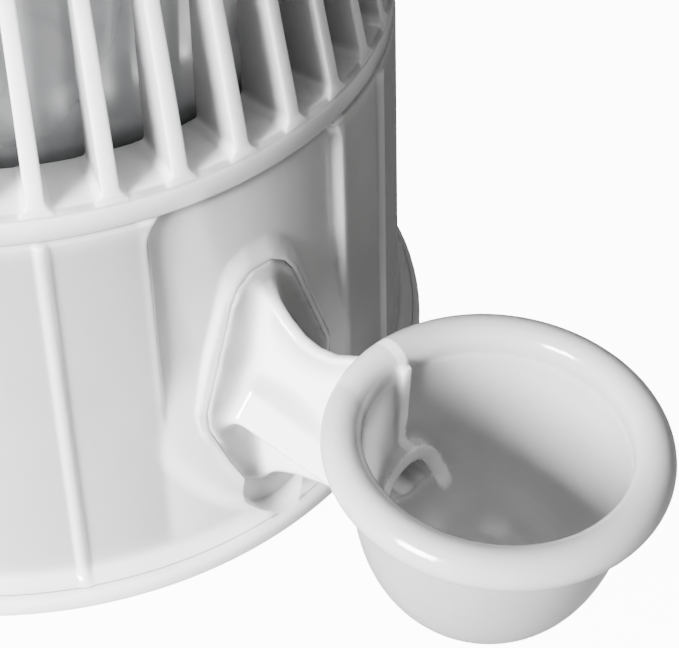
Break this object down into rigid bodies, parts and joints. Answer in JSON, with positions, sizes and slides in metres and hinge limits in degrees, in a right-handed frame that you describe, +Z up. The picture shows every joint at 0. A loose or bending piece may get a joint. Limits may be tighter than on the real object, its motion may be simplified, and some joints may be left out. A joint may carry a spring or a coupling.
{
  "type": "rabbit water bottle",
  "caption": "Inverted water bottle in a slatted cage, standing on a conical tub that feeds a small drinking cup on an arm.",
  "frame": {"origin": "centre of the tub's flat underside, on its turning axis", "axes": "+Z up along the bottle's axis, -Y towards the drinking cup, +X to the cup's side"},
  "size_m": [0.216, 0.3078, 0.33],
  "materials": {
    "milky_plastic": "natural translucent polypropylene, satin",
    "clear_plastic": "clear blow-moulded plastic",
    "white_plastic": "moulded",
    "grey_rubber": "moulded",
    "steel": "drawn wire"
  },
  "bodies": {
    "base": {"base_tub": "milky_plastic", "port_gasket": "grey_rubber"},
    "cage": {"slat_cage": "milky_plastic"},
    "bottle": {"bottle": "clear_plastic"},
    "cap": {"bottle_cap": "white_plastic", "cap_gasket": "grey_rubber", "valve_guide": "white_plastic", "valve_spring": "steel"},
    "valve": {"valve_stem": "white_plastic", "valve_seal": "grey_rubber"},
    "cup": {"cup_arm": "milky_plastic"}
  },
  "joints": [
    {"name": "cage_lift", "type": "slide", "parent": "base", "child": "cage", "axis": [0, 0, 1], "range_m": [0, 0.06]},
    {"name": "bottle_lift", "type": "slide", "parent": "cage", "child": "bottle", "axis": [0, 0, 1], "range_m": [0, 0.13]},
    {"name": "cap_turn", "type": "hinge", "parent": "bottle", "child": "cap", "pos_m": [0, 0, 0.069], "axis": [0, 0, 1], "range_deg": [0, 270]},
    {"name": "valve_travel", "type": "slide", "parent": "cap", "child": "valve", "axis": [0, 0, 1], "range_m": [-0.0045, 0], "deforming": ["valve_spring"]},
    {"name": "arm_pull", "type": "slide", "parent": "base", "child": "cup", "axis": [0, -0.9976, 0.0698], "range_m": [0, 0.04]}
  ],
  "couplings": [
    {"joint": "valve_travel", "follows": "bottle_lift", "ratio": -0.0346}
  ]
}
